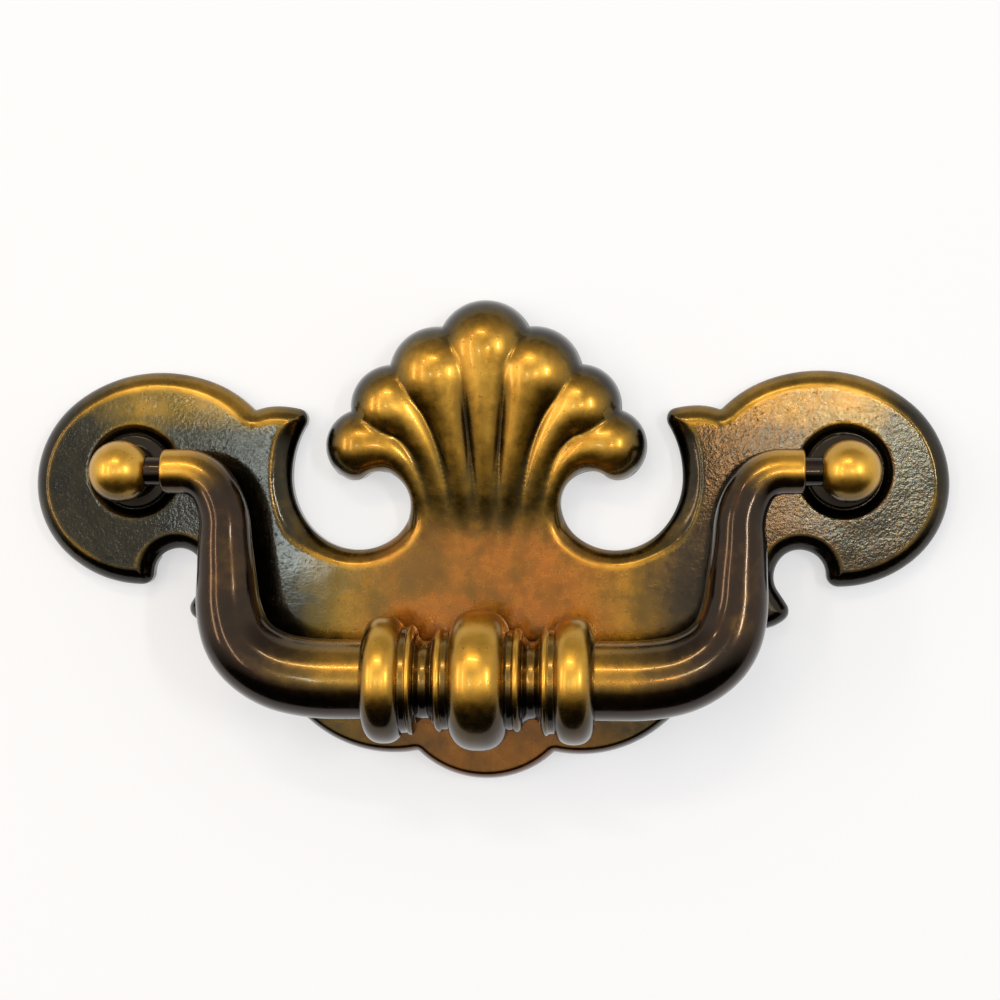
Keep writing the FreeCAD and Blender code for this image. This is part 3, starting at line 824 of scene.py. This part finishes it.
# Depths of the leather grain on the ears, of the scratches and of the pits
LEATHER = 0.015
SCRATCH_DEPTH = 0.001
PIT_DEPTH = 0.006
LACQUER = 0.4
LACQUER_ROUGHNESS = 0.07


def set_stops(node, stops):
    elements = node.color_ramp.elements
    while len(elements) < len(stops):
        elements.new(0.5)
    for element, (place, colour) in zip(elements, stops):
        element.position = place
        element.color = (*colour, 1)


def map_range(nodes, *limits):
    node = nodes.new("ShaderNodeMapRange")
    for socket, number in zip(node.inputs[1:5], limits):
        socket.default_value = number
    return node


class Shader:
    """A material under construction, with short calls for the nodes it uses."""

    def __init__(self, name):
        self.material = bpy.data.materials.new(name)
        self.material.use_nodes = True
        self.tree = self.material.node_tree
        self.surface = self.tree.nodes["Principled BSDF"]
        coordinates = self.tree.nodes.new("ShaderNodeTexCoord")
        scaled = self.tree.nodes.new("ShaderNodeVectorMath")
        scaled.operation = "SCALE"
        scaled.inputs["Scale"].default_value = 1 / MM
        self.link(coordinates.outputs["Object"], scaled.inputs[0])
        self.place = scaled.outputs[0]

    def link(self, start, end):
        self.tree.links.new(start, end)

    def feed(self, socket, value):
        if isinstance(value, (int, float, tuple)):
            socket.default_value = value
        else:
            self.link(value, socket)

    def attribute(self, name):
        node = self.tree.nodes.new("ShaderNodeAttribute")
        node.attribute_name = name
        return node.outputs["Fac"]

    def noise(self, size, detail=3.0, roughness=0.5, stretch=None, distortion=0.0):
        """Noise whose features are about size millimetres wide."""
        place = self.place
        if stretch:
            node = self.tree.nodes.new("ShaderNodeMapping")
            node.inputs["Scale"].default_value = stretch
            node.inputs["Rotation"].default_value = (0.2, 0.5, 0.3)
            self.link(place, node.inputs[0])
            place = node.outputs[0]
        node = self.tree.nodes.new("ShaderNodeTexNoise")
        node.inputs["Scale"].default_value = 1 / size
        node.inputs["Detail"].default_value = detail
        node.inputs["Roughness"].default_value = roughness
        node.inputs["Distortion"].default_value = distortion
        self.link(place, node.inputs["Vector"])
        return node.outputs["Fac"]

    def spread(self, value, low, high, to_low=0.0, to_high=1.0):
        """Value from low..high stretched to to_low..to_high and held there."""
        node = map_range(self.tree.nodes, low, high, to_low, to_high)
        self.feed(node.inputs[0], value)
        return node.outputs[0]

    def math(self, operation, first, second, clamp=False):
        node = self.tree.nodes.new("ShaderNodeMath")
        node.operation = operation
        node.use_clamp = clamp
        self.feed(node.inputs[0], first)
        self.feed(node.inputs[1], second)
        return node.outputs[0]

    def mix(self, share, first, second):
        node = self.tree.nodes.new("ShaderNodeMix")
        node.data_type = "RGBA"
        self.feed(node.inputs[0], share)
        self.feed(node.inputs[6], first)
        self.feed(node.inputs[7], second)
        return node.outputs[2]

    def ramp(self, value, stops):
        node = self.tree.nodes.new("ShaderNodeValToRGB")
        set_stops(node, stops)
        self.feed(node.inputs[0], value)
        return node.outputs[0]

    def bump(self, height, distance, below=None):
        node = self.tree.nodes.new("ShaderNodeBump")
        node.inputs["Strength"].default_value = 1.0
        node.inputs["Distance"].default_value = distance * MM
        self.link(height, node.inputs["Height"])
        if below:
            self.link(below, node.inputs["Normal"])
        return node.outputs[0]


def antique_brass(name, patina, grain, wear):
    """Lacquered brass under a dark patina that is rubbed away where the polish is high; that value also
    carries painted light and shade from the meshes.
    """
    shader = Shader(name)
    clouds = shader.noise(5.0, 4.0, 0.55, distortion=0.4)
    mottle = shader.noise(1.1, 4.0, 0.6)
    specks = shader.noise(0.32, 2.0, 0.5)
    scratches = shader.noise(0.5, 2.0, 0.6, stretch=(0.05, 1.0, 1.6))
    # The polish attribute is rubbed metal together with painted highlight and painted shade.
    polish_and_painted_light = shader.attribute("polish_and_painted_light")
    polish_and_painted_light = shader.math("ADD", polish_and_painted_light, shader.spread(clouds, 0.3, 0.7, -wear, wear))
    patches = shader.spread(mottle, 0.25, 0.75, -0.6 * wear, 0.6 * wear)
    polish_and_painted_light = shader.math("ADD", polish_and_painted_light, patches, clamp=True)
    brass = shader.ramp(polish_and_painted_light, BRASS_TONES[patina])
    red = shader.math("MULTIPLY", shader.attribute("copper"), shader.spread(clouds, 0.36, 0.6, 0.35, 1.0))
    brass = shader.mix(shader.math("MULTIPLY", red, 0.7), brass, COPPER)
    stain = shader.math("MULTIPLY", shader.spread(specks, 0.66, 0.74), shader.spread(mottle, 0.45, 0.6))
    brass = shader.mix(shader.math("MULTIPLY", stain, 0.7), brass, STAIN)
    shader.link(brass, shader.surface.inputs["Base Color"])
    shader.surface.inputs["Metallic"].default_value = 1.0
    rough = shader.spread(polish_and_painted_light, 0.2, 0.9, 0.17, 0.31)
    rough = shader.math("ADD", rough, shader.spread(mottle, 0.3, 0.7, -0.03, 0.06))
    rough = shader.math("ADD", rough, shader.spread(scratches, 0.6, 0.8, 0.0, 0.05))
    shader.link(rough, shader.surface.inputs["Roughness"])
    shader.surface.inputs["Coat Weight"].default_value = LACQUER
    shader.surface.inputs["Coat Roughness"].default_value = LACQUER_ROUGHNESS
    skin = shader.math("MULTIPLY", shader.noise(0.42, 3.0, 0.55), shader.attribute("leather"))
    peel = shader.bump(shader.noise(0.3, 2.0, 0.5), grain, shader.bump(skin, LEATHER))
    fine = shader.bump(scratches, SCRATCH_DEPTH, peel)
    pits = shader.bump(shader.spread(specks, 0.64, 0.8, 1.0, 0.0), PIT_DEPTH, fine)
    shader.link(pits, shader.surface.inputs["Normal"])
    shader.link(pits, shader.surface.inputs["Coat Normal"])
    return shader.material


def seen_directly(nodes, links):
    """1 for rays from the camera, off metal or through glass, and 0 for the others."""
    path = nodes.new("ShaderNodeLightPath")
    total = path.outputs["Is Camera Ray"]
    for kind in ("Is Glossy Ray", "Is Transmission Ray"):
        add = nodes.new("ShaderNodeMath")
        add.operation = "MAXIMUM"
        links.new(total, add.inputs[0])
        links.new(path.outputs[kind], add.inputs[1])
        total = add.outputs[0]
    return total


def wall():
    """The pale wall that the back rests on, see-through from behind."""
    bpy.ops.mesh.primitive_plane_add(size=4.0, location=(0, WALL_GAP, 0), rotation=(math.pi / 2, 0, 0))
    plane = bpy.context.object
    plane.name = "wall"
    material = bpy.data.materials.new("wall_paint")
    material.use_nodes = True
    nodes = material.node_tree.nodes
    links = material.node_tree.links
    nodes.clear()
    output = nodes.new("ShaderNodeOutputMaterial")
    paint = nodes.new("ShaderNodeBsdfDiffuse")
    paint.inputs["Color"].default_value = WALL_PAINT
    white = nodes.new("ShaderNodeEmission")
    white.inputs["Color"].default_value = (1.0, 1.0, 1.0, 1)
    share = nodes.new("ShaderNodeMath")
    share.operation = "MULTIPLY"
    share.inputs[1].default_value = WALL_WHITENESS
    links.new(seen_directly(nodes, links), share.inputs[0])
    front = nodes.new("ShaderNodeMixShader")
    links.new(share.outputs[0], front.inputs[0])
    links.new(paint.outputs[0], front.inputs[1])
    links.new(white.outputs[0], front.inputs[2])
    side = nodes.new("ShaderNodeNewGeometry")
    through = nodes.new("ShaderNodeBsdfTransparent")
    both = nodes.new("ShaderNodeMixShader")
    links.new(side.outputs["Backfacing"], both.inputs[0])
    links.new(front.outputs[0], both.inputs[1])
    links.new(through.outputs[0], both.inputs[2])
    links.new(both.outputs[0], output.inputs[0])
    plane.data.materials.append(material)


def room():
    """A plain room: warm light from above, dark below the viewer, and white behind the object."""
    world = bpy.data.worlds.new("room")
    bpy.context.scene.world = world
    world.use_nodes = True
    nodes = world.node_tree.nodes
    links = world.node_tree.links
    light = nodes["Background"]
    way = nodes.new("ShaderNodeTexCoord")
    parts = nodes.new("ShaderNodeSeparateXYZ")
    links.new(way.outputs["Generated"], parts.inputs[0])
    height = map_range(nodes, -1, 1, 0, 1)
    links.new(parts.outputs["Z"], height.inputs[0])
    ramp = nodes.new("ShaderNodeValToRGB")
    set_stops(ramp, ROOM_TONES)
    links.new(height.outputs[0], ramp.inputs[0])
    behind = map_range(nodes, -0.05, 0.15, 0, 1)
    links.new(parts.outputs["Y"], behind.inputs[0])
    path = nodes.new("ShaderNodeLightPath")
    seen = nodes.new("ShaderNodeMath")
    seen.operation = "MULTIPLY"
    links.new(behind.outputs[0], seen.inputs[0])
    links.new(seen_directly(nodes, links), seen.inputs[1])
    shown = nodes.new("ShaderNodeMath")
    shown.operation = "MAXIMUM"
    links.new(seen.outputs[0], shown.inputs[0])
    links.new(path.outputs["Is Camera Ray"], shown.inputs[1])
    mix = nodes.new("ShaderNodeMix")
    mix.data_type = "RGBA"
    links.new(shown.outputs[0], mix.inputs[0])
    links.new(ramp.outputs[0], mix.inputs[6])
    mix.inputs[7].default_value = BEHIND_TONE
    links.new(mix.outputs[2], light.inputs["Color"])


def area_lamp(name, place, size, power, colour):
    data = bpy.data.lights.new(name, "AREA")
    data.shape = "RECTANGLE"
    data.size, data.size_y = size
    data.energy = power
    data.color = colour
    lamp = bpy.data.objects.new(name, data)
    bpy.context.scene.collection.objects.link(lamp)
    lamp.location = place
    lamp.rotation_euler = (Vector((0, 0, 0)) - Vector(place)).to_track_quat("-Z", "Y").to_euler()


def camera():
    data = bpy.data.cameras.new("camera")
    data.lens = CAMERA_LENS
    data.sensor_width = CAMERA_SENSOR
    data.clip_start = CAMERA_NEAR
    eye = bpy.data.objects.new("camera", data)
    bpy.context.scene.collection.objects.link(eye)
    eye.location = CAMERA_PLACE
    aim = Vector(CAMERA_AIM) - eye.location
    eye.rotation_euler = aim.to_track_quat("-Z", "Y").to_euler()
    bpy.context.scene.camera = eye


def lamps():
    for name, place, size, power, colour in LAMPS:
        area_lamp(name, place, size, power, colour)


def main():
    bpy.context.scene.view_settings.view_transform = "Standard"
    plate = antique_brass("plate_brass", "plate", 0.003, 0.1)
    bail = antique_brass("bail_brass", "bail", 0.0015, 0.07)
    points, faces, values = backplate_mesh()
    make_piece("plate_casting", "plate", "backplate", points, faces, plate, values)
    for name, side in (("left", -1), ("right", 1)):
        points, faces, values = post_mesh()
        points = points + np.array((side * POST_X, 0, 0))
        post = make_piece("ball_post_" + name, "plate", "post_" + name,
                          points, faces, bail, values)
        bore(post, side)
    points, faces, values = bail_mesh()
    make_piece("bail_casting", "bail", "bail", points, faces, bail, values)
    wall()
    room()
    lamps()
    camera()


main()
